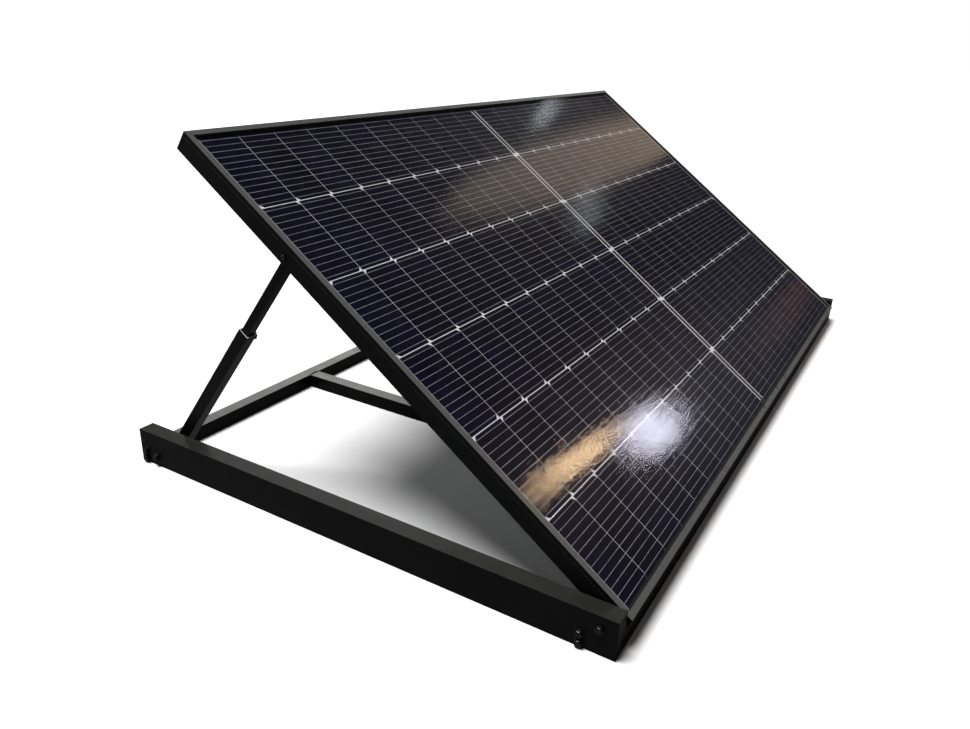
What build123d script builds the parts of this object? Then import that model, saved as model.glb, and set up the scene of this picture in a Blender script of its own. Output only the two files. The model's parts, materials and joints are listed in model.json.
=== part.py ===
from build123d import *
from math import cos, hypot, radians, sin
import os

# A solar module on a ground stand. Two long rails lie on the floor, joined by cross beams.
# The module is hinged between the rails at its lower edge and held up by two telescopic struts.
# Millimetres. X runs along the module's long side, Y from its low edge to the back, Z up.
# The origin is on the floor, at the centre of the whole object's length and width.

# Cells: half-cut wafers in rows along X, split in two halves by a wider middle gap
cell_width = 91.0
cell_height = 182.0
cell_thickness = 0.2
cell_corner = 8.0
cell_rows = 6
half_columns = 10
column_gap = 1.0
row_gap = 2.0
middle_gap = 23.0
side_margin = 21.0
end_margin = 16.0
ribbons_per_row = 12
ribbon_width = 0.9
ribbon_thickness = 0.15
bus_width = 4.5
middle_bus_width = 13.0
bus_overhang = 1.0
bus_end_share = 1 / 3

# Laminate
glass_thickness = 3.2
encapsulant_thickness = 0.5
backsheet_thickness = 0.35

# Module frame: extruded members with mitred corners
frame_depth = 40.0
frame_wall = 1.8
frame_web = 1.5
lip_width = 12.0
long_flange = 30.0
short_flange = 14.0
key_room = 7.3
key_leg = 60.0
key_clearance = 0.1
groove_depth = 0.4
groove_width = 0.8
seal_thickness = 0.4
seal_edge = 2.0
seal_bead = 2.0
slot_length = 14.0
slot_width = 9.0
slot_spacing = 1400.0

# Junction boxes on the back, one behind each pair of rows
box_width = 60.0
box_height = 90.0
box_depth = 16.0
box_wall = 2.5
box_lid = 3.0
box_lid_rim = 1.5
terminal_size = 14.0
terminal_thickness = 2.0
terminal_spacing = 24.0
diode_width = 10.0
diode_length = 30.0
diode_thickness = 4.0
gland_radius = 6.0
gland_bore = 3.0
gland_length = 14.0

# Stand
tilt = 35.5
rail_length = 1116.0
rail_width = 35.0
rail_height = 75.0
rail_wall = 2.0
cap_thickness = 3.0
module_gap = 4.0
beam_size = 32.0
beam_wall = 2.0
beam_lift = 2.0
front_beam_inset = 47.0
middle_rail_spacing = 952.0
toe_thickness = 3.0
toe_height = 38.0
toe_foot = 40.0
plug_length = 18.0
bolt_low = 9.0
bolt_high = 27.0

# Hinge at the module's low edge, as set back from the rails' front ends and up from the floor
hinge_inset = 30.0
hinge_height = 50.0
hinge_reach = 27.0
pivot_depth = 26.0

# Struts: a square sleeve hinged at the floor, with a square tube sliding in it
strut_inset = 50.5
sleeve_size = 25.0
sleeve_wall = 1.5
sleeve_length = 408.0
tube_size = 18.0
tube_wall = 1.5
tube_engagement = 200.0
foot_inset = 48.0
foot_height = 20.5
strut_reach = 838.0
bush_length = 30.0
bush_recess = 1.0
tail_length = 12.0
tail_spigot = 20.0
lock_inset = 20.0
knob_radius = 10.0
knob_length = 9.0
boss_length = 5.0

# Fasteners: flats are the width across a hexagon
m8_radius = 4.0
m8_flats = 13.0
m8_head = 5.3
m8_nut = 6.8
m8_washer_radius = 8.0
m6_radius = 3.0
m6_flats = 10.0
m6_head = 4.0
m6_nut = 5.0
washer_thickness = 1.6
wide_washer_radius = 8.5
bolt_tip = 3.0

# Clearances
bolt_clearance = 0.05
slide_clearance = 0.1
running_gap = 0.2
pivot_play = 3.75
knob_gap = 0.3

# Sizes that follow
half_length = half_columns * cell_width + (half_columns - 1) * column_gap
module_length = 2 * (side_margin + half_length) + middle_gap
module_height = 2 * end_margin + cell_rows * cell_height + (cell_rows - 1) * row_gap
stand_width = module_length + 2 * (module_gap + rail_width)
inner_width = stand_width - 2 * rail_width
row_pitch = cell_height + row_gap
ribbon_pitch = cell_height / ribbons_per_row
bus_set_in = ribbon_pitch * bus_end_share
m8_bore = m8_radius + bolt_clearance
m6_bore = m6_radius + bolt_clearance
wall_inset = rail_width + module_gap
cos_tilt = cos(radians(tilt))
sin_tilt = sin(radians(tilt))

# Depths below the frame's front face
glass_front = frame_web + seal_thickness
encapsulant_front = glass_front + glass_thickness
ribbon_front = encapsulant_front + encapsulant_thickness
cell_front = ribbon_front + ribbon_thickness
cell_back = cell_front + cell_thickness
backsheet_front = cell_back + encapsulant_thickness
laminate_back = backsheet_front + backsheet_thickness
shelf_depth = laminate_back + seal_thickness
key_depth = shelf_depth + frame_web

# Places in the stand, the module's front lower edge first
lip_rise = pivot_depth * cos_tilt - hinge_reach * sin_tilt
lip_setback = hinge_reach * cos_tilt + pivot_depth * sin_tilt
front_y = -(rail_length + hinge_inset - lip_setback) / 2
hinge_y = front_y + hinge_inset
rear_y = front_y + rail_length
foot_y = rear_y - foot_inset
front_beam_y = front_y + front_beam_inset + beam_size / 2
rear_beam_y = rear_y - beam_size / 2
strut_climb = strut_reach - hinge_reach
top_y = hinge_y + strut_climb * cos_tilt
top_z = hinge_height + strut_climb * sin_tilt
strut_length = hypot(top_y - foot_y, top_z - foot_height)
strut_inner = strut_inset + sleeve_size
tube_inset = strut_inset + (sleeve_size - tube_size) / 2
lock_reach = sleeve_length - lock_inset
edge_inset = frame_wall + seal_edge
slot_inset = (frame_wall + long_flange) / 2
box_back = laminate_back + box_depth

module_plane = Plane(
    origin=(0, hinge_y - lip_setback, hinge_height + lip_rise),
    x_dir=(1, 0, 0),
    z_dir=(0, -sin_tilt, cos_tilt),
)
sides = {"left": -1, "right": 1}


def module_level(depth):
    """The module's own plane, that far behind the frame's front face."""
    return module_plane.offset(-depth)


def cross_plane(side, inset, y, z):
    """A plane square to X, inset from that side's outer rail face, looking to the middle."""
    return Plane(
        origin=(side * (stand_width / 2 - inset), y, z),
        x_dir=(0, 1, 0),
        z_dir=(-side, 0, 0),
    )


def rod(plane, length, radius, mode=Mode.ADD):
    """A round bar that grows from the plane."""
    with Locations(plane):
        Cylinder(radius, length, align=(Align.CENTER, Align.CENTER, Align.MIN), mode=mode)


def bar(plane, width, height, length, mode=Mode.ADD):
    """A square-cornered bar that grows from the plane."""
    with Locations(plane):
        Box(width, height, length, align=(Align.CENTER, Align.CENTER, Align.MIN), mode=mode)


def hexagon(plane, height, flats):
    """A hexagonal head or nut that grows from the plane."""
    with BuildSketch(plane) as outline:
        RegularPolygon(flats / 2, 6, major_radius=False)
    extrude(outline.sketch, amount=height)


def bolt(plane, length, radius, flats, head):
    """A hex bolt with its head's underside on the plane."""
    hexagon(plane.offset(-head), head, flats)
    rod(plane, length, radius)


def ring(plane, height, outer, bore):
    """A washer, bush or nut blank with a round bore."""
    rod(plane, height, outer)
    rod(plane, height, bore, mode=Mode.SUBTRACT)


def nut(plane, height, flats, bore):
    """A hexagonal nut."""
    hexagon(plane, height, flats)
    rod(plane, height, bore, mode=Mode.SUBTRACT)


def write(piece, name):
    """Label a finished piece and write its file."""
    piece.part.label = name
    export_step(piece.part, f"parts/{name}.step")


def module_block(depth, thickness, inset, mode=Mode.ADD):
    """A rectangular layer of the module, inset evenly from its outline."""
    with BuildSketch(module_level(depth)) as outline:
        with Locations((0, module_height / 2)):
            Rectangle(module_length - 2 * inset, module_height - 2 * inset)
    extrude(outline.sketch, amount=-thickness, mode=mode)


def frame_profile(flange):
    """The member's section: X is the distance in from its outer face, Y is minus the depth."""
    corner = (Align.MIN, Align.MAX)
    Rectangle(frame_wall, frame_depth, align=corner)
    Rectangle(lip_width, frame_web, align=corner)
    with Locations((0, -shelf_depth)):
        Rectangle(lip_width, key_room + 2 * frame_web, align=corner)
    with Locations((0, frame_wall - frame_depth)):
        Rectangle(flange, frame_wall, align=corner)
    with Locations((frame_wall, -key_depth)):
        Rectangle(lip_width - frame_wall - frame_web, key_room, align=corner, mode=Mode.SUBTRACT)
    with Locations((0, -key_depth)):
        Rectangle(groove_depth, groove_width, align=corner, mode=Mode.SUBTRACT)


def frame_member(start, run, inside, length, flange):
    """A mitred member that runs from a corner of the module along one edge."""
    with BuildSketch(Plane(origin=start, x_dir=inside, z_dir=run)) as section:
        frame_profile(flange)
    extrude(section.sketch, amount=length)
    split(bisect_by=Plane(origin=start, z_dir=run - inside), keep=Keep.TOP)
    split(bisect_by=Plane(origin=start + run * length, z_dir=-run - inside), keep=Keep.TOP)


def frame_slots(row):
    """Mounting slots in a long member's back flange."""
    with BuildSketch(module_level(frame_depth)) as slots:
        for column in (-1, 1):
            with Locations((column * slot_spacing / 2, row)):
                SlotOverall(slot_length, slot_width)
    extrude(slots.sketch, amount=frame_wall, mode=Mode.SUBTRACT)


os.makedirs("parts", exist_ok=True)

# Frame members, running anticlockwise round the module seen from its glass side
across = module_plane.x_dir
upslope = module_plane.y_dir
low_left = module_plane.origin - across * (module_length / 2)
low_right = low_left + across * module_length
high_right = low_right + upslope * module_height
high_left = low_left + upslope * module_height

with BuildPart() as frame_bottom:
    frame_member(low_left, across, upslope, module_length, long_flange)
    frame_slots(slot_inset)
write(frame_bottom, "frame_bottom")

with BuildPart() as frame_top:
    frame_member(high_right, -across, -upslope, module_length, long_flange)
    frame_slots(module_height - slot_inset)
write(frame_top, "frame_top")

side_edges = {
    "left": (high_left, -upslope, across),
    "right": (low_right, upslope, -across),
}
for name, side in sides.items():
    start, run, inside = side_edges[name]
    with BuildPart() as frame_side:
        frame_member(start, run, inside, module_height, short_flange)
        hinge_plane = cross_plane(side, wall_inset, hinge_y, hinge_height)
        rod(hinge_plane, frame_wall, m8_bore, mode=Mode.SUBTRACT)
        top_plane = cross_plane(side, wall_inset, top_y, top_z)
        rod(top_plane, frame_wall, m6_bore, mode=Mode.SUBTRACT)
    write(frame_side, f"frame_{name}")

# Corner keys: angle pieces pressed into the members' hollow webs
with BuildPart() as corner_keys:
    key_inset = frame_wall + key_clearance
    key_width = lip_width - frame_wall - frame_web - 2 * key_clearance
    with BuildSketch(module_level(key_depth + key_clearance)) as key_outline:
        for right in (-1, 1):
            for top in (0, 1):
                corner_x = right * (module_length / 2 - key_inset)
                corner_y = key_inset + top * (module_height - 2 * key_inset)
                away = -1 if top else 1
                with Locations((corner_x - right * key_leg / 2, corner_y + away * key_width / 2)):
                    Rectangle(key_leg, key_width)
                with Locations((corner_x - right * key_width / 2, corner_y + away * key_leg / 2)):
                    Rectangle(key_width, key_leg)
    extrude(key_outline.sketch, amount=2 * key_clearance - key_room)
write(corner_keys, "corner_keys")

# Laminate, from the front
with BuildPart() as front_glass:
    module_block(glass_front, glass_thickness, edge_inset)
write(front_glass, "front_glass")

with BuildPart() as front_encapsulant:
    module_block(encapsulant_front, encapsulant_thickness, edge_inset)
write(front_encapsulant, "front_encapsulant")

with BuildPart() as rear_encapsulant:
    module_block(cell_back, encapsulant_thickness, edge_inset)
write(rear_encapsulant, "rear_encapsulant")

with BuildPart() as backsheet:
    module_block(backsheet_front, backsheet_thickness, edge_inset)
write(backsheet, "backsheet")

# Edge seal: a channel round the laminate's edge that shows as a bead beside the lip
with BuildPart() as edge_seal:
    seal_depth = shelf_depth - frame_web
    module_block(frame_web, seal_depth, frame_wall)
    module_block(glass_front, laminate_back - glass_front, edge_inset, mode=Mode.SUBTRACT)
    module_block(frame_web, seal_thickness, lip_width + seal_bead, mode=Mode.SUBTRACT)
    module_block(laminate_back, seal_thickness, lip_width, mode=Mode.SUBTRACT)
write(edge_seal, "edge_seal")

# Cells: the clipped corners change sides from row to row
with BuildPart() as solar_cells:
    with BuildSketch(module_level(cell_front)) as cell_outline:
        for row in range(cell_rows):
            cell_y = end_margin + cell_height / 2 + row * row_pitch
            clipped = 1 if row % 2 == 0 else -1
            for half in (-1, 1):
                half_start = half * (middle_gap + half_length) / 2 - half_length / 2
                for column in range(half_columns):
                    cell_x = half_start + cell_width / 2 + column * (cell_width + column_gap)
                    with BuildLine():
                        clip_x = cell_x + clipped * cell_width / 2
                        flat_x = cell_x - clipped * cell_width / 2
                        inner_x = clip_x - clipped * cell_corner
                        low_y = cell_y - cell_height / 2
                        high_y = cell_y + cell_height / 2
                        Polyline(
                            (flat_x, low_y),
                            (inner_x, low_y),
                            (clip_x, low_y + cell_corner),
                            (clip_x, high_y - cell_corner),
                            (inner_x, high_y),
                            (flat_x, high_y),
                            close=True,
                        )
                    make_face()
    extrude(cell_outline.sketch, amount=-cell_thickness)
write(solar_cells, "solar_cells")

# Ribbons along the rows, and the bus ribbons that join them
end_bus_x = module_length / 2 - side_margin + bus_overhang + bus_width / 2
ribbon_end = end_bus_x - bus_width / 2
ribbon_start = middle_bus_width / 2
with BuildPart() as cell_ribbons:
    with BuildSketch(module_level(ribbon_front)) as ribbon_outline:
        for row in range(cell_rows):
            for number in range(ribbons_per_row):
                ribbon_y = end_margin + row * row_pitch + (number + 0.5) * ribbon_pitch
                for half in (-1, 1):
                    with Locations((half * (ribbon_start + ribbon_end) / 2, ribbon_y)):
                        Rectangle(ribbon_end - ribbon_start, ribbon_width)
    extrude(ribbon_outline.sketch, amount=-ribbon_thickness)
write(cell_ribbons, "cell_ribbons")

with BuildPart() as bus_ribbons:
    with BuildSketch(module_level(ribbon_front)) as bus_outline:
        for pair in range(cell_rows // 2):
            pair_y = end_margin + cell_height + row_gap / 2 + 2 * pair * row_pitch
            for half in (-1, 1):
                with Locations((half * end_bus_x, pair_y)):
                    Rectangle(bus_width, 2 * cell_height + row_gap - 2 * bus_set_in)
        for row in range(cell_rows):
            row_y = end_margin + cell_height / 2 + row * row_pitch
            with Locations((0, row_y)):
                Rectangle(middle_bus_width, cell_height - 2 * bus_set_in)
    extrude(bus_outline.sketch, amount=ribbon_front - cell_back)
write(bus_ribbons, "bus_ribbons")

# Junction boxes behind the middle gap, one behind each pair of rows
first_pair = end_margin + cell_height + row_gap / 2
box_rows = [first_pair + 2 * pair * row_pitch for pair in range(cell_rows // 2)]
end_boxes = {box_rows[0]: 1, box_rows[-1]: -1}


def box_block(row, depth, width, height, thickness, mode=Mode.ADD):
    """A block behind the module, centred on one junction box."""
    with BuildSketch(module_level(depth)) as outline:
        with Locations((0, row)):
            Rectangle(width, height)
    extrude(outline.sketch, amount=-thickness, mode=mode)


def gland_plane(row, facing):
    """The mouth of a box's cable entry, looking out of the box."""
    offset = facing * box_height / 2
    origin = module_level(laminate_back + box_depth / 2).origin + upslope * (row + offset)
    return Plane(origin=origin, x_dir=across, z_dir=upslope * facing)


with BuildPart() as junction_boxes:
    for row in box_rows:
        box_block(row, laminate_back, box_width, box_height, box_depth)
    for row in box_rows:
        room = box_depth - box_wall
        wide = box_width - 2 * box_wall
        high = box_height - 2 * box_wall
        box_block(row, laminate_back + box_wall, wide, high, room, mode=Mode.SUBTRACT)
    for row, facing in end_boxes.items():
        rod(gland_plane(row, facing).offset(-box_wall), box_wall, gland_bore, mode=Mode.SUBTRACT)
write(junction_boxes, "junction_boxes")

with BuildPart() as junction_box_lids:
    for row in box_rows:
        box_block(row, box_back, box_width, box_height, box_lid)
        rim_width = box_width - 2 * box_wall - 2 * slide_clearance
        rim_height = box_height - 2 * box_wall - 2 * slide_clearance
        box_block(row, box_back - box_lid_rim, rim_width, rim_height, box_lid_rim)
write(junction_box_lids, "junction_box_lids")

terminal_depth = laminate_back + box_wall
with BuildPart() as box_terminals:
    for row in box_rows:
        for step in (-1, 1):
            terminal_row = row + step * terminal_spacing / 2
            box_block(terminal_row, terminal_depth, terminal_size, terminal_size, terminal_thickness)
write(box_terminals, "box_terminals")

with BuildPart() as bypass_diodes:
    for row in box_rows:
        diode_depth = terminal_depth + terminal_thickness
        box_block(row, diode_depth, diode_width, diode_length, diode_thickness)
write(bypass_diodes, "bypass_diodes")

with BuildPart() as cable_glands:
    for row, facing in end_boxes.items():
        ring(gland_plane(row, facing), gland_length, gland_radius, gland_bore)
write(cable_glands, "cable_glands")

# Stand: rails with their end caps
for name, side in sides.items():
    with BuildPart() as rail:
        centre_x = side * (stand_width - rail_width) / 2
        rail_start = Plane(origin=(centre_x, front_y, 0), x_dir=(1, 0, 0), z_dir=(0, 1, 0))
        with BuildSketch(rail_start) as rail_section:
            with Locations((0, -rail_height / 2)):
                Rectangle(rail_width, rail_height)
                Rectangle(rail_width - 2 * rail_wall, rail_height - 2 * rail_wall, mode=Mode.SUBTRACT)
        extrude(rail_section.sketch, amount=rail_length)
        for bolt_y in (front_beam_y, rear_beam_y):
            for bolt_z in (bolt_low, bolt_high):
                hole_plane = cross_plane(side, 0, bolt_y, bolt_z)
                rod(hole_plane, rail_width, m8_bore, mode=Mode.SUBTRACT)
        for pivot_y, pivot_z in ((hinge_y, hinge_height), (foot_y, foot_height)):
            hole_plane = cross_plane(side, 0, pivot_y, pivot_z)
            rod(hole_plane, rail_width, m8_bore, mode=Mode.SUBTRACT)
    write(rail, f"rail_{name}")

with BuildPart() as rail_end_caps:
    for side in sides.values():
        for cap_y in (front_y, rear_y - cap_thickness):
            centre_x = side * (stand_width - rail_width) / 2
            with Locations((centre_x, cap_y + cap_thickness / 2, rail_height / 2)):
                Box(rail_width - 2 * rail_wall, cap_thickness, rail_height - 2 * rail_wall)
write(rail_end_caps, "rail_end_caps")

# Cross beams: square tubes between the rails, with threaded plugs in their ends
beam_z = beam_lift + beam_size / 2
beam_bore = beam_size - 2 * beam_wall
for name, beam_y in {"front": front_beam_y, "rear": rear_beam_y}.items():
    with BuildPart() as beam:
        beam_start = cross_plane(-1, rail_width, beam_y, beam_z)
        bar(beam_start, beam_size, beam_size, inner_width)
        bar(beam_start, beam_bore, beam_bore, inner_width, mode=Mode.SUBTRACT)
    write(beam, f"{name}_beam")

with BuildPart() as beam_end_plugs:
    for side in sides.values():
        for beam_y in (front_beam_y, rear_beam_y):
            bar(cross_plane(side, rail_width, beam_y, beam_z), beam_bore, beam_bore, plug_length)
            for bolt_z in (bolt_low, bolt_high):
                bore_plane = cross_plane(side, rail_width, beam_y, bolt_z)
                rod(bore_plane, plug_length, m8_bore, mode=Mode.SUBTRACT)
write(beam_end_plugs, "beam_end_plugs")

for name, side in sides.items():
    with BuildPart() as middle_rail:
        start_y = front_beam_y + beam_size / 2
        run = rear_beam_y - front_beam_y - beam_size
        centre_x = side * middle_rail_spacing / 2
        start = Plane(origin=(centre_x, start_y, beam_z), x_dir=(1, 0, 0), z_dir=(0, 1, 0))
        bar(start, beam_size, beam_size, run)
        bar(start, beam_bore, beam_bore, run, mode=Mode.SUBTRACT)
    write(middle_rail, f"middle_rail_{name}")

# Toe angle between the rails' front ends
with BuildPart() as front_toe_angle:
    toe_start = Plane(origin=(-inner_width / 2, front_y, 0), x_dir=(0, 1, 0), z_dir=(1, 0, 0))
    with BuildSketch(toe_start) as toe_section:
        Rectangle(toe_thickness, toe_height, align=(Align.MIN, Align.MIN))
        Rectangle(toe_foot, toe_thickness, align=(Align.MIN, Align.MIN))
    extrude(toe_section.sketch, amount=inner_width)
write(front_toe_angle, "front_toe_angle")

# Struts
strut_run = Vector(0, top_y - foot_y, top_z - foot_height).normalized()


def strut_plane(inset, y, z, side):
    """A side view of a strut: X runs up it, and the plane looks to the middle."""
    plane = cross_plane(side, inset, y, z)
    return Plane(origin=plane.origin, x_dir=strut_run, z_dir=plane.z_dir)


def strut_bar(plane, start, end, height, width, mode=Mode.ADD):
    """A straight stretch of square bar along the strut."""
    with BuildSketch(plane) as outline:
        with Locations(((start + end) / 2, 0)):
            Rectangle(end - start, height)
    extrude(outline.sketch, amount=width, mode=mode)


for name, side in sides.items():
    foot_plane = strut_plane(strut_inset, foot_y, foot_height, side)
    tube_plane = strut_plane(tube_inset, foot_y, foot_height, side)
    top_plane = strut_plane(tube_inset, top_y, top_z, side)
    bore = sleeve_size - 2 * sleeve_wall
    bore_plane = foot_plane.offset(sleeve_wall)
    lock_origin = foot_plane.origin + strut_run * lock_reach
    lock_plane = Plane(origin=lock_origin, x_dir=strut_run, z_dir=foot_plane.z_dir)

    with BuildPart() as sleeve:
        strut_bar(foot_plane, 0, sleeve_length, sleeve_size, sleeve_size)
        rod(foot_plane, sleeve_size, sleeve_size / 2)
        strut_bar(bore_plane, -sleeve_size, sleeve_length, bore, bore, mode=Mode.SUBTRACT)
        rod(foot_plane, sleeve_size, m8_bore, mode=Mode.SUBTRACT)
        lock_wall = lock_plane.offset(sleeve_size - sleeve_wall)
        rod(lock_wall, sleeve_wall, m6_bore, mode=Mode.SUBTRACT)
    write(sleeve, f"strut_sleeve_{name}")

    tube_end = sleeve_length - tube_engagement
    tube_length = strut_length - tube_end
    tube_bore = tube_size - 2 * tube_wall
    with BuildPart() as tube:
        strut_bar(top_plane, -tube_length, 0, tube_size, tube_size)
        rod(top_plane, tube_size, tube_size / 2)
        hollow = top_plane.offset(tube_wall)
        strut_bar(hollow, -tube_length, tube_size, tube_bore, tube_bore, mode=Mode.SUBTRACT)
        rod(top_plane, tube_size, m6_radius + pivot_play, mode=Mode.SUBTRACT)
    write(tube, f"strut_tube_{name}")

    with BuildPart() as mouth_bush:
        bush_end = sleeve_length - bush_recess
        strut_bar(bore_plane, bush_end - bush_length, bush_end, bore, bore)
        bush_bore = tube_size + 2 * slide_clearance
        inner = tube_plane.offset(-slide_clearance)
        strut_bar(inner, 0, sleeve_length, bush_bore, bush_bore, mode=Mode.SUBTRACT)
        rod(lock_plane.offset(sleeve_size / 2), bore / 2, m6_bore, mode=Mode.SUBTRACT)
    write(mouth_bush, f"strut_bush_{name}")

    with BuildPart() as tail_plug:
        runner = bore - 2 * slide_clearance
        runner_plane = bore_plane.offset(slide_clearance)
        strut_bar(runner_plane, tube_end - tail_length, tube_end, runner, runner)
        spigot_plane = tube_plane.offset(tube_wall)
        strut_bar(spigot_plane, tube_end, tube_end + tail_spigot, tube_bore, tube_bore)
    write(tail_plug, f"strut_tail_{name}")

    with BuildPart() as lock_knob:
        tip = (sleeve_size + tube_size) / 2 + knob_gap
        grip = sleeve_size + boss_length
        rod(lock_plane.offset(tip), grip - tip, m6_radius)
        rod(lock_plane.offset(grip), knob_length, knob_radius)
    write(lock_knob, f"lock_knob_{name}")

    with BuildPart() as lock_boss:
        nut(lock_plane.offset(sleeve_size), boss_length, m6_flats, m6_bore)
    write(lock_boss, f"lock_boss_{name}")

# Fasteners: bolts go in from the outside, nuts and spacers sit inside
wall_inner = wall_inset + frame_wall
top_nut_inset = tube_inset + tube_size + washer_thickness

with BuildPart() as beam_bolts:
    for side in sides.values():
        for beam_y in (front_beam_y, rear_beam_y):
            for bolt_z in (bolt_low, bolt_high):
                length = washer_thickness + rail_width + plug_length
                seat = cross_plane(side, -washer_thickness, beam_y, bolt_z)
                bolt(seat, length, m8_radius, m8_flats, m8_head)
write(beam_bolts, "beam_bolts")

with BuildPart() as beam_washers:
    for side in sides.values():
        for beam_y in (front_beam_y, rear_beam_y):
            for bolt_z in (bolt_low, bolt_high):
                seat = cross_plane(side, -washer_thickness, beam_y, bolt_z)
                ring(seat, washer_thickness, m8_washer_radius, m8_bore)
write(beam_washers, "beam_washers")

with BuildPart() as hinge_bolts:
    for side in sides.values():
        seat = cross_plane(side, -washer_thickness, hinge_y, hinge_height)
        length = wall_inner + 2 * washer_thickness + running_gap + m8_nut + bolt_tip
        bolt(seat, length, m8_radius, m8_flats, m8_head)
write(hinge_bolts, "hinge_bolts")

with BuildPart() as hinge_washers:
    for side in sides.values():
        for inset in (-washer_thickness, wall_inner + running_gap):
            seat = cross_plane(side, inset, hinge_y, hinge_height)
            ring(seat, washer_thickness, m8_washer_radius, m8_bore)
write(hinge_washers, "hinge_washers")

with BuildPart() as hinge_bushes:
    for side in sides.values():
        seat = cross_plane(side, rail_width, hinge_y, hinge_height)
        ring(seat, module_gap - running_gap, wide_washer_radius, m8_bore)
write(hinge_bushes, "hinge_bushes")

with BuildPart() as hinge_nuts:
    for side in sides.values():
        inset = wall_inner + running_gap + washer_thickness
        nut(cross_plane(side, inset, hinge_y, hinge_height), m8_nut, m8_flats, m8_radius)
write(hinge_nuts, "hinge_nuts")

with BuildPart() as foot_bolts:
    for side in sides.values():
        seat = cross_plane(side, -washer_thickness, foot_y, foot_height)
        length = strut_inner + 2 * washer_thickness + running_gap + m8_nut + bolt_tip
        bolt(seat, length, m8_radius, m8_flats, m8_head)
write(foot_bolts, "foot_bolts")

with BuildPart() as foot_washers:
    for side in sides.values():
        for inset in (-washer_thickness, strut_inner + running_gap):
            seat = cross_plane(side, inset, foot_y, foot_height)
            ring(seat, washer_thickness, m8_washer_radius, m8_bore)
write(foot_washers, "foot_washers")

with BuildPart() as foot_spacers:
    for side in sides.values():
        seat = cross_plane(side, rail_width, foot_y, foot_height)
        ring(seat, strut_inset - rail_width - running_gap, m8_washer_radius, m8_bore)
write(foot_spacers, "foot_spacers")

with BuildPart() as foot_nuts:
    for side in sides.values():
        inset = strut_inner + running_gap + washer_thickness
        nut(cross_plane(side, inset, foot_y, foot_height), m8_nut, m8_flats, m8_radius)
write(foot_nuts, "foot_nuts")

with BuildPart() as top_bolts:
    for side in sides.values():
        seat = cross_plane(side, wall_inset, top_y, top_z)
        length = top_nut_inset + running_gap + m6_nut + bolt_tip - wall_inset
        bolt(seat, length, m6_radius, m6_flats, m6_head)
write(top_bolts, "top_bolts")

with BuildPart() as top_spacers:
    for side in sides.values():
        seat = cross_plane(side, wall_inner, top_y, top_z)
        ring(seat, tube_inset - wall_inner - running_gap, wide_washer_radius, m6_bore)
write(top_spacers, "top_spacers")

with BuildPart() as top_washers:
    for side in sides.values():
        inset = tube_inset + tube_size + running_gap
        seat = cross_plane(side, inset, top_y, top_z)
        ring(seat, washer_thickness, wide_washer_radius, m6_bore)
write(top_washers, "top_washers")

with BuildPart() as top_nuts:
    for side in sides.values():
        seat = cross_plane(side, top_nut_inset + running_gap, top_y, top_z)
        nut(seat, m6_nut, m6_flats, m6_radius)
write(top_nuts, "top_nuts")
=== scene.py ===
import json
from math import ceil, cos, pi, radians, sin

import bmesh
import bpy
from mathutils import Matrix, Vector


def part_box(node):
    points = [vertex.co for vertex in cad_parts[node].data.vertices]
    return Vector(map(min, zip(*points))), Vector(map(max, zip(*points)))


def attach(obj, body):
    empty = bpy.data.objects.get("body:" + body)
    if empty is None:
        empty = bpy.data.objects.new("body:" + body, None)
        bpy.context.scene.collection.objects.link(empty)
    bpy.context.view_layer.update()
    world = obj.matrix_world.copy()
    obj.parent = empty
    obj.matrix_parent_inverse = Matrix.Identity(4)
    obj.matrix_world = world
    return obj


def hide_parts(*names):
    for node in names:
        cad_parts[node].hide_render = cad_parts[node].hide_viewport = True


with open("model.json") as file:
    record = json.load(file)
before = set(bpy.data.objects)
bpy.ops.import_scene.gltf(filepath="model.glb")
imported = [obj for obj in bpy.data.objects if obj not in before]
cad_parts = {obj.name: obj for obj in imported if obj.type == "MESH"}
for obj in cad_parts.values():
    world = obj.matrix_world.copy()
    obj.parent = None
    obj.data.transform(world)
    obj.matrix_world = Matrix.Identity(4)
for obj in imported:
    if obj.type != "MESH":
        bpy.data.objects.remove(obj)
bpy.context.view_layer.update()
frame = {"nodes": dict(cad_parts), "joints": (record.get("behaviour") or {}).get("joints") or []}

# The module's own axes: ACROSS its long side, UP its slope, and OUT of its glass
TILT = radians(35.5)
ACROSS = Vector((1, 0, 0))
UP = Vector((0, cos(TILT), sin(TILT)))
OUT = Vector((0, -sin(TILT), cos(TILT)))
MODULE_AXES = (ACROSS, UP, OUT)
WORLD_AXES = (Vector((1, 0, 0)), Vector((0, 1, 0)), Vector((0, 0, 1)))

# How far inside the cells' outer edges the dark mask starts, so that it covers their clipped corners
CLIPPED_CORNER = 0.009
# Half the width of the black cover over the middle bus strip
MIDDLE_COVER = 0.0065
# How deep below a cut sleeve end the bare metal begins, and where it is fully bare
CUT_BAND, CUT_EDGE = 0.0011, 0.0006
# Cells closer than this are neighbours that ribbons run across
NEIGHBOUR_GAP = 0.005
# Weld beads: radius at the middle rails and at the toe angle, ring spacing, ripple pitch and relief
RAIL_BEAD, TOE_BEAD = 0.0019, 0.0016
BEAD_STEP, BEAD_PITCH, BEAD_RELIEF = 0.0006, 0.0028, 0.14

# Noise lies mostly inside these values, which the ramps stretch over their full range
EVEN = (0.3, 0.7)
PATCHY = (0.3, 0.75)
CLOUDY = (0.35, 0.7)
# Specular level of the dark coats
COAT_SHEEN = 0.22


# ---------------------------------------------------------------- places read from the frame

def span(points, axes):
    """Lowest and highest reach of some points along three axes."""
    reaches = [[p.dot(axis) for p in points] for axis in axes]
    return [(min(r), max(r)) for r in reaches]


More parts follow.
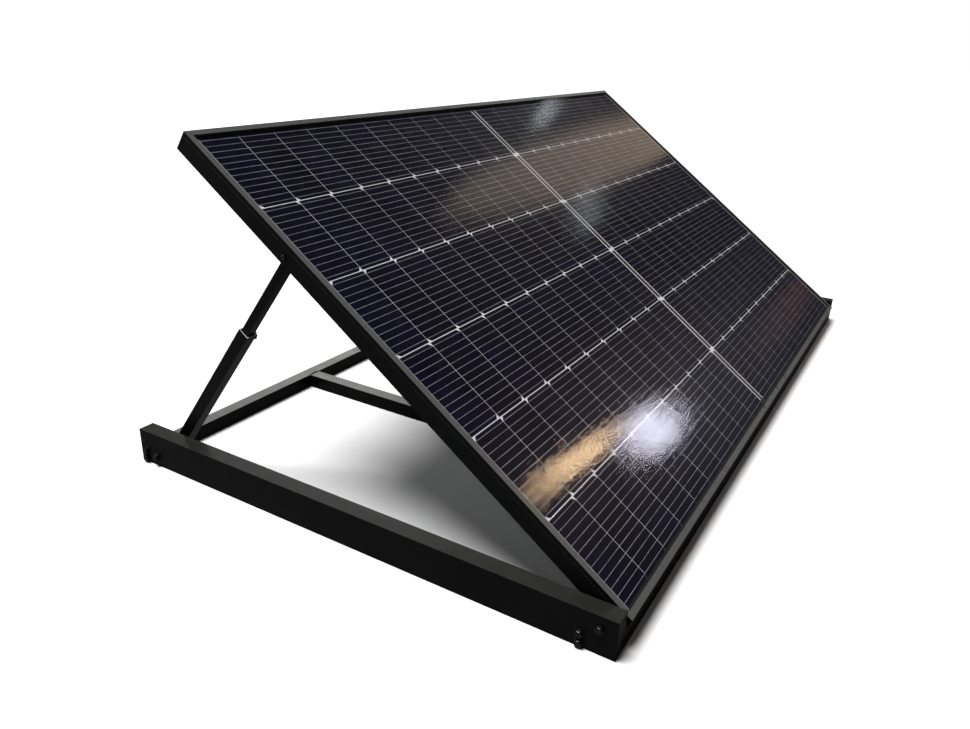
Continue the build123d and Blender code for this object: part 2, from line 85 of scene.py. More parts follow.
def solids(node):
    """The corners of each separate solid in a CAD node."""
    mesh = bmesh.new()
    mesh.from_mesh(frame["nodes"][node].data)
    bmesh.ops.remove_doubles(mesh, verts=mesh.verts, dist=1e-6)
    groups = []
    seen = set()
    for start in mesh.verts:
        if start in seen:
            continue
        seen.add(start)
        group, front = [], [start]
        while front:
            vert = front.pop()
            group.append(vert.co.copy())
            for edge in vert.link_edges:
                other = edge.other_vert(vert)
                if other not in seen:
                    seen.add(other)
                    front.append(other)
        groups.append(group)
    mesh.free()
    return groups


def at(u, v, w):
    """The point at those distances along the module's axes."""
    return ACROSS * u + UP * v + OUT * w


def middle(reach):
    return (reach[0] + reach[1]) / 2


def rectangle(half_width, half_height):
    """Corners of a rectangle round the origin."""
    return [(-half_width, -half_height), (half_width, -half_height),
            (half_width, half_height), (-half_width, half_height)]


# ---------------------------------------------------------------- shader building

class Shader:
    """A material whose nodes are added one at a time."""

    def __init__(self, name):
        self.material = bpy.data.materials.new(name)
        self.material.use_nodes = True
        self.nodes = self.material.node_tree.nodes
        self.links = self.material.node_tree.links
        self.surface = self.nodes["Principled BSDF"]
        self.output = self.nodes["Material Output"]
        self.place = self.add("ShaderNodeTexCoord").outputs["Object"]

    def add(self, kind, **values):
        node = self.nodes.new(kind)
        for key, value in values.items():
            setattr(node, key, value)
        return node

    def set(self, **values):
        """Constant values on the surface's own sockets."""
        for key, value in values.items():
            socket = self.surface.inputs[key.replace("_", " ")]
            socket.default_value = (*value, 1) if isinstance(value, tuple) else value
        return self

    def stretched(self, scale):
        mapping = self.add("ShaderNodeMapping")
        mapping.inputs["Scale"].default_value = scale
        self.links.new(self.place, mapping.inputs["Vector"])
        return mapping.outputs[0]

    def noise(self, scale, detail=4.0, stretch=(1, 1, 1), roughness=0.5):
        node = self.add("ShaderNodeTexNoise")
        node.inputs["Scale"].default_value = scale
        node.inputs["Detail"].default_value = detail
        node.inputs["Roughness"].default_value = roughness
        self.links.new(self.stretched(stretch), node.inputs["Vector"])
        return node.outputs[0]

    def ranged(self, value, low, high, to_low, to_high):
        node = self.add("ShaderNodeMapRange")
        keys = ("From Min", "From Max", "To Min", "To Max")
        for key, number in zip(keys, (low, high, to_low, to_high)):
            node.inputs[key].default_value = number
        self.links.new(value, node.inputs["Value"])
        return node.outputs[0]

    def math(self, operation, first, second):
        node = self.add("ShaderNodeMath", operation=operation)
        for socket, value in zip(node.inputs, (first, second)):
            if isinstance(value, (int, float)):
                socket.default_value = value
            else:
                self.links.new(value, socket)
        return node.outputs[0]

    def blend(self, factor, first, second):
        node = self.add("ShaderNodeMix", data_type="RGBA")
        self.links.new(factor, node.inputs["Factor"])
        for key, value in zip(("A", "B"), (first, second)):
            socket = [s for s in node.inputs if s.name == key and s.type == "RGBA"][0]
            if isinstance(value, tuple):
                socket.default_value = (*value, 1)
            else:
                self.links.new(value, socket)
        return [s for s in node.outputs if s.type == "RGBA"][0]

    def colour(self, source):
        self.links.new(source, self.surface.inputs["Base Color"])

    def rough(self, source):
        self.links.new(source, self.surface.inputs["Roughness"])

    def bump(self, height, strength, distance, soften=0.0):
        """Relief from a height, over edges rounded by that radius."""
        node = self.add("ShaderNodeBump")
        node.inputs["Strength"].default_value = strength
        node.inputs["Distance"].default_value = distance
        self.links.new(height, node.inputs["Height"])
        if soften:
            edge = self.add("ShaderNodeBevel", samples=4)
            edge.inputs["Radius"].default_value = soften
            self.links.new(edge.outputs[0], node.inputs["Normal"])
        self.links.new(node.outputs[0], self.surface.inputs["Normal"])
        return node.outputs[0]

    def facing(self, direction, low, high):
        """1 on faces that look along a direction, 0 on the others."""
        node = self.add("ShaderNodeVectorMath", operation="DOT_PRODUCT")
        node.inputs[1].default_value = direction
        normal = self.add("ShaderNodeTexCoord").outputs["Normal"]
        self.links.new(normal, node.inputs[0])
        return self.ranged(node.outputs["Value"], low, high, 0, 1)

    def axis(self, direction):
        """How far a point lies along a direction."""
        node = self.add("ShaderNodeVectorMath", operation="DOT_PRODUCT")
        node.inputs[1].default_value = direction
        self.links.new(self.place, node.inputs[0])
        return node.outputs["Value"]


def coated_metal(name, dark, light, roughness, scratches, sheen_face, bright):
    """A dark satin coat with cloudy wear, dust and fine scratches, and a painted sheen that makes one
    face paler.
    """
    shader = Shader(name).set(Specular_IOR_Level=COAT_SHEEN)
    clouds = shader.noise(6.0, detail=6.0)
    base = shader.blend(shader.ranged(clouds, *CLOUDY, 0, 1), dark, light)
    # Painted sheen: faces that look along one direction take a paler colour, standing in for light
    # glancing off them.
    base = shader.blend(shader.facing(sheen_face, 0.9, 0.99), base, bright)
    lines = shader.noise(60.0, detail=2.0, stretch=(1, 0.03, 1))
    fine = shader.ranged(lines, 0.69, 0.74, 0, scratches)
    dust = shader.ranged(shader.noise(900.0, detail=1.0), 0.68, 0.8, 0, 0.5)
    worn = tuple(6 * c + 0.02 for c in light)
    marked = shader.blend(fine, base, worn)
    shader.colour(shader.blend(shader.math("MULTIPLY", dust, 0.14), marked, (0.16, 0.155, 0.14)))
    smudges = shader.noise(25.0, detail=5.0)
    shader.rough(shader.ranged(smudges, *EVEN, roughness - 0.07, roughness + 0.09))
    shader.bump(shader.noise(1400.0, detail=2.0), 0.12, 0.0004, soften=0.0007)
    return shader.material


def frame_material():
    # The paler colour on the faces that look out of the glass is a painted sheen on the frame's lip.
    return coated_metal("dark_anodised_frame",
                        dark=(0.0016, 0.0021, 0.002), light=(0.0042, 0.005, 0.0048),
                        roughness=0.3, scratches=0.2, sheen_face=OUT, bright=(0.085, 0.088, 0.085))


def stand_material(name, upper):
    # The upper colour is painted on the faces that look up: a painted sheen on their tops.
    return coated_metal(name, dark=(0.0014, 0.0018, 0.0017), light=(0.004, 0.0046, 0.0043),
                        roughness=0.34, scratches=0.4, sheen_face=(0, 0, 1), bright=upper)


def strut_material(name, mouth=None):
    """Dark anodised tube, bare where the sleeve's end was cut."""
    shader = Shader(name).set(Specular_IOR_Level=COAT_SHEEN)
    clouds = shader.noise(9.0, detail=5.0)
    base = shader.blend(shader.ranged(clouds, *CLOUDY, 0, 1),
                        (0.0012, 0.0014, 0.0013), (0.0034, 0.0038, 0.0036))
    rubbed = shader.ranged(shader.noise(140.0, stretch=(1, 0.05, 0.05)), 0.62, 0.72, 0, 0.6)
    base = shader.blend(rubbed, base, (0.022, 0.023, 0.022))
    if mouth:
        direction, height = mouth
        cut = shader.ranged(shader.axis(direction), height - CUT_BAND, height - CUT_EDGE, 0, 1)
        base = shader.blend(cut, base, (0.62, 0.63, 0.62))
    shader.colour(base)
    shader.rough(shader.ranged(clouds, *EVEN, 0.26, 0.4))
    shader.bump(shader.noise(900.0, stretch=(1, 0.2, 0.2)), 0.1, 0.0003, soften=0.0006)
    return shader.material


def steel_material(name, base, other, roughness):
    """Plated steel with turned streaks and small stains."""
    shader = Shader(name).set(Metallic=1.0)
    streaks = shader.noise(300.0, detail=3.0, stretch=(0.1, 1, 1))
    shader.colour(shader.blend(shader.ranged(streaks, *PATCHY, 0, 1), base, other))
    shader.rough(shader.ranged(shader.noise(80.0), *EVEN, roughness - 0.08, roughness + 0.1))
    shader.bump(streaks, 0.15, 0.0002, soften=0.0004)
    return shader.material


def plastic_material(name, base, other, roughness, grain=1800.0):
    """Moulded plastic with a fine spark-eroded grain."""
    shader = Shader(name).set(IOR=1.46)
    texture = shader.noise(grain, detail=2.0)
    shader.colour(shader.blend(shader.ranged(shader.noise(20.0), *EVEN, 0, 1), base, other))
    shader.rough(shader.ranged(texture, *EVEN, roughness - 0.06, roughness + 0.06))
    shader.bump(texture, 0.25, 0.0003, soften=0.0006)
    return shader.material


def cell_material():
    """Dark blue silicon with a slightly different tone in each cell."""
    shader = Shader("solar_silicon").set(Specular_IOR_Level=0.12)
    island = shader.add("ShaderNodeNewGeometry").outputs["Random Per Island"]
    tone = shader.blend(island, (0.0011, 0.001, 0.006), (0.0024, 0.0021, 0.0125))
    mottling = shader.ranged(shader.noise(35.0, detail=5.0), *PATCHY, 0, 0.6)
    shader.colour(shader.blend(mottling, tone, (0.0022, 0.0018, 0.0095)))
    shader.rough(shader.ranged(shader.noise(12.0), *EVEN, 0.34, 0.46))
    shader.bump(shader.noise(2600.0, detail=1.0), 0.2, 0.0002)
    return shader.material


def ribbon_material():
    """Tinned copper, with the middle bus strip behind a black cover."""
    shader = Shader("tinned_ribbon")
    streaks = shader.noise(250.0, detail=3.0, stretch=(0.1, 1, 1))
    tin = shader.blend(shader.ranged(streaks, *PATCHY, 0, 1), (0.2, 0.2, 0.22), (0.46, 0.46, 0.5))
    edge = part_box("bus_ribbons")[1].x / 2
    from_middle = shader.math("ABSOLUTE", shader.axis(ACROSS), 0.0)
    bare = shader.math("GREATER_THAN", from_middle, MIDDLE_COVER)
    flat_bus = shader.math("GREATER_THAN", from_middle, edge)
    shader.colour(shader.blend(bare, (0.004, 0.004, 0.007), tin))
    shader.links.new(shader.math("MULTIPLY", bare, 0.35), shader.surface.inputs["Metallic"])
    shader.rough(shader.ranged(flat_bus, 0, 1, 0.42, 0.5))
    shader.bump(streaks, 0.2, 0.0001)
    return shader.material


def film_material(name, masked):
    """White polymer film with a faint woven emboss, masked dark round the cells if asked."""
    shader = Shader(name).set(IOR=1.4)
    weave = shader.noise(700.0, stretch=(1, 0.15, 0.15))
    drift = shader.ranged(shader.noise(4.0), *EVEN, 0, 1)
    film = shader.blend(drift, (0.66, 0.68, 0.72), (0.78, 0.79, 0.8))
    if masked:
        cells = solids("solar_cells")
        reaches = [span(corners, (UP,))[0] for corners in cells]
        low, high = min(r[0] for r in reaches), max(r[1] for r in reaches)
        centre, half = (low + high) / 2, (high - low) / 2 - CLIPPED_CORNER
        from_centre = shader.math("ABSOLUTE", shader.math("SUBTRACT", shader.axis(UP), centre), 0.0)
        film = shader.blend(shader.math("GREATER_THAN", from_centre, half), film, (0.012, 0.012, 0.015))
        half_width = max(p.x for corners in cells for p in corners)
        from_middle = shader.math("ABSOLUTE", shader.axis(ACROSS), 0.0)
        film = shader.blend(shader.math("GREATER_THAN", from_middle, half_width), film, (0.2, 0.2, 0.2))
    shader.colour(film)
    shader.rough(shader.ranged(weave, *EVEN, 0.42, 0.6))
    shader.bump(weave, 0.2, 0.0002)
    return shader.material


def seal_material():
    return plastic_material("black_sealant", (0.004, 0.004, 0.004), (0.009, 0.009, 0.009),
                            roughness=0.6, grain=300.0)


def clear_material(name, haze, tint):
    """A clear layer that only hazes what lies behind it a little."""
    shader = Shader(name).set(Roughness=0.3, Base_Color=tint)
    clear = shader.add("ShaderNodeBsdfTransparent")
    share = shader.ranged(shader.noise(15.0, detail=3.0), *EVEN, haze * 0.6, haze)
    mix = shader.add("ShaderNodeMixShader")
    shader.links.new(share, mix.inputs[0])
    shader.links.new(clear.outputs[0], mix.inputs[1])
    shader.links.new(shader.surface.outputs[0], mix.inputs[2])
    shader.links.new(mix.outputs[0], shader.output.inputs["Surface"])
    return shader.material


def glass_material():
    """Low-iron glass with the fine dimpled texture of solar glass."""
    shader = Shader("textured_solar_glass").set(Base_Color=(0.0, 0.0, 0.0), Specular_IOR_Level=0.5)
    shader.surface.inputs["IOR"].default_value = 1.5
    dimples = shader.noise(620.0, detail=2.0, roughness=0.6)
    drift = shader.noise(7.0, detail=3.0)
    relief = shader.math("ADD", dimples, shader.math("MULTIPLY", drift, 0.5))
    normal = shader.bump(relief, 0.16, 0.00035)
    smear = shader.ranged(shader.noise(3.5, detail=6.0, roughness=0.65), 0.4, 0.72, 0.05, 0.09)
    gloss = shader.add("ShaderNodeBsdfGlossy")
    shader.links.new(smear, gloss.inputs["Roughness"])
    shader.links.new(normal, gloss.inputs["Normal"])
    fresnel = shader.add("ShaderNodeFresnel")
    fresnel.inputs["IOR"].default_value = 1.45
    shader.links.new(normal, fresnel.inputs["Normal"])
    inside = shader.add("ShaderNodeNewGeometry").outputs["Backfacing"]
    mirrored = shader.math("MULTIPLY", fresnel.outputs[0], shader.math("SUBTRACT", 1.0, inside))
    clear = shader.add("ShaderNodeBsdfTransparent")
    mix = shader.add("ShaderNodeMixShader")
    shader.links.new(mirrored, mix.inputs[0])
    shader.links.new(clear.outputs[0], mix.inputs[1])
    shader.links.new(gloss.outputs[0], mix.inputs[2])
    shader.links.new(mix.outputs[0], shader.output.inputs["Surface"])
    return shader.material


# ---------------------------------------------------------------- pieces made here

def finish_piece(mesh, name, material, body, smooth=False):
    """Turn a bmesh into a piece that rides on a body."""
    bmesh.ops.recalc_face_normals(mesh, faces=mesh.faces)
    data = bpy.data.meshes.new(name)
    mesh.to_mesh(data)
    mesh.free()
    for polygon in data.polygons:
        polygon.use_smooth = smooth
    piece = bpy.data.objects.new(name, data)
    bpy.context.scene.collection.objects.link(piece)
    data.materials.append(material)
    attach(piece, body)
    return piece


def loft(mesh, rings):
    """Closed skin over rings of corners, each given as a list of points."""
    loops = [[mesh.verts.new(p) for p in ring] for ring in rings]
    for low, high in zip(loops, loops[1:]):
        for k in range(len(low)):
            n = (k + 1) % len(low)
            mesh.faces.new((low[k], low[n], high[n], high[k]))
    mesh.faces.new(list(reversed(loops[0])))
    mesh.faces.new(loops[-1])


def ring_about(centre, right, up, radii):
    """Points round a centre, at a radius for each step of the turn."""
    count = len(radii)
    points = []
    for k, radius in enumerate(radii):
        turn = 2 * pi * k / count
        points.append(centre + right * (radius * cos(turn)) + up * (radius * sin(turn)))
    return points


def hex_radii(flats, steps, cap):
    """The radius of a hexagon round its turn, cut off at a cap radius."""
    radii = []
    for k in range(steps):
        turn = (2 * pi * k / steps) % (pi / 3)
        radii.append(min(flats / 2 / cos(turn - pi / 6), cap))
    return radii


def add_bolt(mesh, seat, facing, shank, flats, head, reach):
    """A bolt: chamfered hexagonal head outside its seat, and a shank with a pointed end inside."""
    right = Vector((0, 1, 0))
    up = facing.cross(right)
    steps = 48
    widest = flats / 2 / cos(pi / 6)
    body = hex_radii(flats, steps, widest)
    profile = [
        (-reach, [shank * 0.8] * steps),
        (-reach + shank * 0.3, [shank] * steps),
        (0, [shank] * steps),
        (0, body),
        (head * 0.72, body),
        (head * 0.86, hex_radii(flats, steps, widest * 0.95)),
        (head, hex_radii(flats, steps, flats / 2 * 0.93)),
        (head, [flats * 0.3] * steps),
        (head * 0.94, [flats * 0.26] * steps),
    ]
    loft(mesh, [ring_about(seat + facing * along, right, up, radii) for along, radii in profile])


def detailed_bolts(node, body, material, shank, flats, head):
    """Chamfered bolts in the places of the node's own."""
    mesh = bmesh.new()
    for corners in solids(node):
        x, y, z = span(corners, WORLD_AXES)
        side = 1 if middle(x) > 0 else -1
        outer = max(x, key=abs)
        inner = min(x, key=abs)
        seat = Vector((outer - side * head, middle(y), middle(z)))
        reach = abs(seat.x - inner)
        add_bolt(mesh, seat, Vector((side, 0, 0)), shank, flats, head, reach)
    piece = finish_piece(mesh, f"{node}_detailed", material, body)
    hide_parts(node)


def ribbon_grid():
    """Where the ribbons lie up the module, and the reach of each column of cells across it."""
    ribbons, cells = solids("cell_ribbons"), solids("solar_cells")
    rows = sorted({round(middle(span(s, MODULE_AXES)[1]), 5) for s in ribbons})
    columns = sorted({tuple(round(r, 5) for r in span(s, MODULE_AXES)[0]) for s in cells})
    return rows, columns


def ribbon_bends(material):
    """Where each ribbon steps down between two cells: a small bright crest over the gap."""
    ribbon_rows, columns = ribbon_grid()
    top = max(p.dot(OUT) for p in solids("cell_ribbons")[0])
    mesh = bmesh.new()
    pairs = zip(columns, columns[1:])
    gaps = [(a[1] + b[0]) / 2 for a, b in pairs if b[0] - a[1] < NEIGHBOUR_GAP]
    foot, crest = rectangle(0.0016, 0.00055), rectangle(0.0006, 0.0004)
    sunk, raised = 0.0001, 0.00015
    for v in ribbon_rows:
        for u in gaps:
            rings = [
                [at(u + x, v + y, top - sunk) for x, y in foot],
                [at(u + x, v + y, top + raised) for x, y in crest],
            ]
            loft(mesh, rings)
    finish_piece(mesh, "ribbon_bends", material, "panel")


def solder_pads(material):
    """Small tinned pads under each ribbon along every cell."""
    ribbon_rows, columns = ribbon_grid()
    top = max(p.dot(OUT) for p in solids("solar_cells")[0])
    mesh = bmesh.new()
    per_cell = 5
    foot, face = [0.00075, 0.0011] * 3, [0.0006, 0.0009] * 3
    sunk, raised = 0.00005, 0.00004
    for v in ribbon_rows:
        for low, high in columns:
            for k in range(per_cell):
                u = low + (high - low) * (k + 0.5) / per_cell
                low_ring = ring_about(at(u, v, top - sunk), ACROSS, UP, foot)
                high_ring = ring_about(at(u, v, top + raised), ACROSS, UP, face)
                loft(mesh, [low_ring, high_ring])
    finish_piece(mesh, "solder_pads", material, "panel")


def weld_bead(mesh, start, end, radius):
    """A rippled weld bead between two points."""
    run = end - start
    length = run.length
    run.normalize()
    right = run.orthogonal().normalized()
    up = run.cross(right)
    steps = ceil(length / BEAD_STEP)
    rings = []
    for k in range(steps + 1):
        share = k / steps
        ripple = 1 + BEAD_RELIEF * sin(2 * pi * length * share / BEAD_PITCH)
        taper = min(1, 6 * share + 0.3, 6 * (1 - share) + 0.3)
        radii = [radius * ripple * taper] * 10
        rings.append(ring_about(start + run * (length * share), right, up, radii))
    loft(mesh, rings)


def middle_rail_welds(material):
    """Beads along the joints between the middle rails and the cross beams."""
    mesh = bmesh.new()
    for name in ("middle_rail_left", "middle_rail_right"):
        low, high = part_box(name)
        for y in (low.y, high.y):
            weld_bead(mesh, Vector((low.x, y, high.z)), Vector((high.x, y, high.z)), RAIL_BEAD)
            for x in (low.x, high.x):
                weld_bead(mesh, Vector((x, y, low.z)), Vector((x, y, high.z)), RAIL_BEAD)
    finish_piece(mesh, "middle_rail_welds", material, "stand", smooth=True)


def toe_welds(material):
    """Short stitches that hold the toe angle to the rails."""
    mesh = bmesh.new()
    low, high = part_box("front_toe_angle")
    set_in, bottom, below_top = 0.004, 0.006, 0.008
    y = low.y + set_in
    for x in (low.x, high.x):
        weld_bead(mesh, Vector((x, y, bottom)), Vector((x, y, high.z - below_top)), TOE_BEAD)
    finish_piece(mesh, "toe_welds", material, "stand", smooth=True)


def knob(side, material):
    """A scalloped grip on a plain stem."""
    node = f"lock_knob_{side}"
    x, y, z = span(solids(node)[0], WORLD_AXES)
    facing = Vector((1, 0, 0)) if side == "left" else Vector((-1, 0, 0))
    near, far = (x[0], x[1]) if side == "left" else (x[1], x[0])
    centre = Vector((near, middle(y), middle(z)))
    reach = abs(far - near)
    grip_depth, stem, widest, steps = 0.009, 0.003, 0.0098, 72
    scallops, scallop_depth = 8, 0.0009
    lobes = [widest - scallop_depth * (1 - cos(scallops * 2 * pi * k / steps)) for k in range(steps)]
    profile = [
        (0, [stem * 0.8] * steps),
        (0.0008, [stem] * steps),
        (reach - grip_depth, [stem] * steps),
        (reach - grip_depth, [r * 0.86 for r in lobes]),
        (reach - grip_depth * 0.86, lobes),
        (reach - grip_depth * 0.18, lobes),
        (reach - grip_depth * 0.05, [r * 0.93 for r in lobes]),
        (reach, [r * 0.8 for r in lobes]),
        (reach, [0.004] * steps),
        (reach - 0.0006, [0.0036] * steps),
    ]
    right = Vector((0, 1, 0))
    up = facing.cross(right)
    mesh = bmesh.new()
    loft(mesh, [ring_about(centre + facing * along, right, up, radii) for along, radii in profile])
    piece = finish_piece(mesh, f"lock_grip_{side}", material, f"strut_lower_{side}")
    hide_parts(node)


def glands(material):
    """Cable glands: a hexagonal foot, a ribbed cap and an open mouth."""
    mesh = bmesh.new()
    box_middle = middle(span([p for s in solids("junction_boxes") for p in s], MODULE_AXES)[1])
    for corners in solids("cable_glands"):
        u, v, w = span(corners, MODULE_AXES)
        facing = UP if middle(v) < box_middle else -UP
        foot = v[0] if facing is UP else v[1]
        start = at(middle(u), foot, middle(w))
        length, radius, steps = v[1] - v[0], (u[1] - u[0]) / 2, 72
        ribs = [radius * (0.93 if k % 4 < 2 else 0.99) for k in range(steps)]
        profile = [
            (0, hex_radii(radius * 1.72, steps, radius)),
            (length * 0.3, hex_radii(radius * 1.72, steps, radius)),
            (length * 0.32, [radius * 0.8] * steps),
            (length * 0.4, [radius * 0.8] * steps),
            (length * 0.42, ribs),
            (length * 0.82, ribs),
            (length * 0.96, [radius * 0.74] * steps),
            (length, [radius * 0.62] * steps),
            (length, [radius * 0.5] * steps),
            (length * 0.35, [radius * 0.5] * steps),
        ]
        side = facing.cross(ACROSS)
        loft(mesh, [ring_about(start + facing * along, ACROSS, side, radii) for along, radii in profile])
    piece = finish_piece(mesh, "gland_caps", material, "panel")
    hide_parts("cable_glands")


def lid_details(material):
    """Raised ribs and two snap tabs on each junction box lid."""
    rib_count, rib_pitch, rib_sunk, rib_height = 7, 0.009, 0.0005, 0.0008
    rib = rectangle(0.02, 0.0012)
    tab = [(-0.0015, -0.007), (0.0012, -0.007), (0.0012, 0.007), (-0.0015, 0.007)]
    tab_reach = 0.009
    mesh = bmesh.new()
    for corners in solids("junction_box_lids"):
        u, v, w = span(corners, MODULE_AXES)
        back = w[0]
        for k in range(rib_count):
            centre_v = middle(v) + (k - rib_count // 2) * rib_pitch
            rings = [
                [at(middle(u) + x, centre_v + y, back + rib_sunk) for x, y in rib],
                [at(middle(u) + x * 0.98, centre_v + y * 0.5, back - rib_height) for x, y in rib],
            ]
            loft(mesh, rings)
        for edge in (-1, 1):
            centre_u = middle(u) + edge * (u[1] - u[0]) / 2
            rings = [
                [at(centre_u + edge * x, middle(v) + y, back) for x, y in tab],
                [at(centre_u + edge * x * 0.7, middle(v) + y, back + tab_reach) for x, y in tab],
            ]
            loft(mesh, rings)
    finish_piece(mesh, "lid_ribs_and_tabs", material, "panel")


# ---------------------------------------------------------------- dress the CAD nodes

def dress(material, *nodes):
    """Give CAD nodes a material on every slot."""
    for node in nodes:
        thing = frame["nodes"][node]
        if not thing.data.materials:
            thing.data.materials.append(material)
        for slot in thing.material_slots:
            slot.material = material


def both(*names):
    return [f"{name}_{side}" for name in names for side in ("left", "right")]


slide = next(j for j in frame["joints"] if j["name"] == "strut_extend_left")
strut_run = Vector(slide["axis"]).normalized()
mouth_height = max(p.dot(strut_run) for p in solids("strut_sleeve_left")[0])

frame_metal = frame_material()
# The last colour of each is the painted sheen on the upward faces of the rails and beams.
rail_metal = stand_material("dark_coated_rail", (0.014, 0.014, 0.013))
beam_metal = stand_material("dark_coated_beam", (0.1, 0.099, 0.094))
sleeve_metal = strut_material("dark_anodised_sleeve", (strut_run, mouth_height))
tube_metal = strut_material("dark_anodised_tube")
dark_steel = steel_material("blackened_steel", (0.035, 0.036, 0.037), (0.1, 0.1, 0.1), 0.34)
mill_metal = steel_material("mill_aluminium", (0.5, 0.5, 0.51), (0.7, 0.7, 0.72), 0.35)
copper = steel_material("bare_copper", (0.45, 0.19, 0.09), (0.62, 0.3, 0.17), 0.3)
black_plastic = plastic_material("black_moulding", (0.01, 0.01, 0.01), (0.017, 0.017, 0.018), 0.42)
nylon = plastic_material("black_nylon", (0.014, 0.014, 0.015), (0.02, 0.02, 0.022), 0.5)
diode_epoxy = plastic_material("diode_epoxy", (0.012, 0.012, 0.013), (0.02, 0.02, 0.02), 0.3)
tin = ribbon_material()
bright_solder = steel_material("bright_solder", (0.7, 0.7, 0.74), (0.9, 0.9, 0.92), 0.45)

dress(frame_metal, "frame_top", "frame_bottom", "frame_left", "frame_right")
dress(mill_metal, "corner_keys")
dress(glass_material(), "front_glass")
dress(clear_material("front_encapsulant_clear", 0.0008, (0.5, 0.5, 0.6)), "front_encapsulant")
dress(film_material("masked_white_film", True), "rear_encapsulant")
dress(cell_material(), "solar_cells")
dress(tin, "cell_ribbons", "bus_ribbons")
dress(film_material("white_backsheet", False), "backsheet")
dress(seal_material(), "edge_seal")
dress(black_plastic, "junction_boxes", "junction_box_lids", "cable_glands")
dress(copper, "box_terminals")
dress(diode_epoxy, "bypass_diodes")
dress(rail_metal, "rail_left", "rail_right", "rail_end_caps", "front_toe_angle")
dress(beam_metal, "front_beam", "rear_beam", *both("middle_rail"))
dress(sleeve_metal, *both("strut_sleeve"))
dress(tube_metal, *both("strut_tube"))
dress(nylon, "hinge_bushes", *both("strut_bush", "strut_tail", "lock_knob"))
dress(dark_steel, "beam_end_plugs", "beam_bolts", "beam_washers", *both("lock_boss"))
dress(dark_steel, "hinge_bolts", "hinge_washers", "hinge_nuts")
dress(dark_steel, "foot_bolts", "foot_washers", "foot_spacers", "foot_nuts")
dress(dark_steel, "top_bolts", "top_washers", "top_spacers", "top_nuts")

# Shank radius, width across flats and head height
M8 = dict(shank=0.004, flats=0.013, head=0.0053)
M6 = dict(shank=0.003, flats=0.01, head=0.004)
for bolts in ("beam_bolts", "hinge_bolts", "foot_bolts"):
    detailed_bolts(bolts, "stand", dark_steel, **M8)
detailed_bolts("top_bolts", "panel", dark_steel, **M6)
ribbon_bends(bright_solder)
solder_pads(bright_solder)
middle_rail_welds(rail_metal)
toe_welds(rail_metal)
for side in ("left", "right"):
    knob(side, nylon)
glands(black_plastic)
lid_details(black_plastic)


# ---------------------------------------------------------------- stage, light and camera

CAMERA_PLACE = Vector((-1.9266, -0.8444, 0.8939))
CAMERA_FORWARD = Vector((0.7972, 0.46333, -0.38704))
CAMERA_ROLL = radians(2.2)
FOCAL_LENGTH = 29.29

FLOOR_REACH, FLOOR_DROP = 60.0, 0.0002
WORLD_STRENGTH = 0.022
LAMP_DISTANCE = 3.4
LAVENDER = (0.84, 0.83, 1.0)
GOLD = (1.0, 0.68, 0.38)
BROWN = (1.0, 0.78, 0.58)
RUST = (1.0, 0.45, 0.36)
PALE = (0.85, 0.95, 1.0)


def make_camera():
    data = bpy.data.cameras.new("camera")
    data.lens = FOCAL_LENGTH
    camera = bpy.data.objects.new("camera", data)
    camera.location = CAMERA_PLACE
    turn = CAMERA_FORWARD.to_track_quat("-Z", "Y").to_matrix()
    roll = Matrix.Rotation(CAMERA_ROLL, 3, "Z")
    camera.rotation_euler = (turn @ roll).to_euler()
    bpy.context.scene.collection.objects.link(camera)
    bpy.context.scene.camera = camera


def make_floor():
    """A floor that looks white to the camera and dim to every other ray."""
    mesh = bmesh.new()
    corners = rectangle(FLOOR_REACH, FLOOR_REACH)
    mesh.faces.new([mesh.verts.new((x, y, -FLOOR_DROP)) for x, y in corners])
    data = bpy.data.meshes.new("floor")
    mesh.to_mesh(data)
    mesh.free()
    floor = bpy.data.objects.new("floor", data)
    shader = Shader("pale_floor").set(IOR=1.3, Roughness=0.9)
    seen = shader.add("ShaderNodeLightPath").outputs["Is Camera Ray"]
    pale = shader.blend(shader.noise(2.0), (0.86, 0.86, 0.86), (0.9, 0.9, 0.9))
    shader.colour(shader.blend(seen, (0.1, 0.1, 0.1), pale))
    data.materials.append(shader.material)
    bpy.context.scene.collection.objects.link(floor)


def area_light(name, place, aim, size, power, colour=(1, 1, 1), size_y=None):
    data = bpy.data.lights.new(name, "AREA")
    data.shape = "ELLIPSE" if size_y else "DISK"
    data.size = size
    if size_y:
        data.size_y = size_y
    data.energy = power
    data.color = colour
    light = bpy.data.objects.new(name, data)
    light.location = place
    light.rotation_euler = (Vector(aim) - Vector(place)).to_track_quat("-Z", "Y").to_euler()
    bpy.context.scene.collection.objects.link(light)
    return light


def sun_light(name, towards, strength, softness):
    """Even light over the whole floor, softened by its angle in degrees."""
    data = bpy.data.lights.new(name, "SUN")
    data.energy = strength
    data.angle = radians(softness)
    light = bpy.data.objects.new(name, data)
    light.rotation_euler = Vector(towards).to_track_quat("Z", "Y").to_euler()
    bpy.context.scene.collection.objects.link(light)


def mirrored_place(across, up):
    """Where something must stand to be mirrored at that place of the glass, seen from the camera."""
    low = min(p.dot(UP) for p in solids("front_glass")[0])
    face = max(p.dot(OUT) for p in solids("front_glass")[0])
    spot = at(across, low + up, face)
    ray = (spot - CAMERA_PLACE).normalized()
    return spot, spot + (ray - OUT * (2 * ray.dot(OUT))) * LAMP_DISTANCE


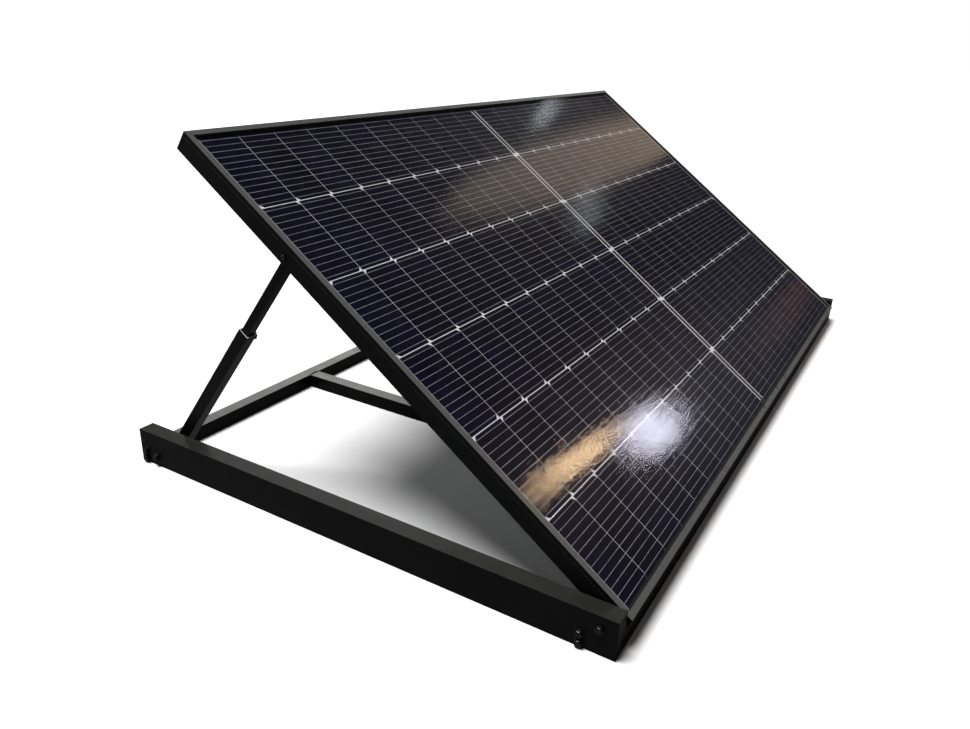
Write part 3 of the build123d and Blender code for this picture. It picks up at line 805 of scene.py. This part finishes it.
def mirrored_strip(name, start, end, width, power, colour):
    """A strip light whose reflection runs between two places of the module."""
    spot_a, end_a = mirrored_place(*start)
    spot_b, end_b = mirrored_place(*end)
    place = (end_a + end_b) / 2
    light = area_light(name, place, spot_a, (end_b - end_a).length, power, colour, width)
    facing = ((spot_a + spot_b) / 2 - place).normalized()
    along = (end_b - end_a).normalized()
    side = facing.cross(along).normalized()
    along = side.cross(facing).normalized()
    light.rotation_euler = Matrix((along, -side, -facing)).transposed().to_euler()


def make_world():
    """A backdrop that is white to the camera and dim to every other ray."""
    world = bpy.data.worlds.new("studio")
    bpy.context.scene.world = world
    world.use_nodes = True
    nodes, links = world.node_tree.nodes, world.node_tree.links
    dim = nodes["Background"]
    dim.inputs["Color"].default_value = (0.9, 0.95, 1.0, 1)
    dim.inputs["Strength"].default_value = WORLD_STRENGTH
    white = nodes.new("ShaderNodeBackground")
    white.inputs["Color"].default_value = (1, 1, 1, 1)
    seen = nodes.new("ShaderNodeLightPath").outputs["Is Camera Ray"]
    mix = nodes.new("ShaderNodeMixShader")
    links.new(seen, mix.inputs[0])
    links.new(dim.outputs[0], mix.inputs[1])
    links.new(white.outputs[0], mix.inputs[2])
    links.new(mix.outputs[0], nodes["World Output"].inputs["Surface"])


bpy.context.scene.view_settings.view_transform = "Standard"
make_camera()
make_floor()
make_world()
sun_light("daylight", towards=(-0.15, 0.25, 0.95), strength=4.6, softness=28)
area_light("side_fill", (-4.2, 0.6, 1.2), aim=(-0.6, 0.0, 0.2), size=1.6, power=3)
area_light("far_wall", (5.4, 4.0, 2.9), aim=(-0.3, 0.4, 0.0), size=6.5, power=90, size_y=2.6)
mirrored_strip("window", (-0.56, 0.14), (-0.45, 0.205), width=0.34, power=3.9, colour=LAVENDER)
mirrored_strip("gold_lamp", (-0.92, 0.247), (-0.62, 0.223), width=0.05, power=3.6, colour=GOLD)
mirrored_strip("brown_wall", (-0.4, 0.83), (0.96, 0.88), width=0.42, power=1.6, colour=BROWN)
mirrored_strip("pale_wall", (0.0, 0.64), (0.13, 0.76), width=0.14, power=0.14, colour=PALE)
mirrored_strip("pale_upper_wall", (0.34, 1.04), (0.42, 1.09), width=0.14, power=0.12, colour=PALE)
mirrored_strip("rust_wall", (0.36, 0.1), (0.85, 0.12), width=0.2, power=0.045, colour=RUST)
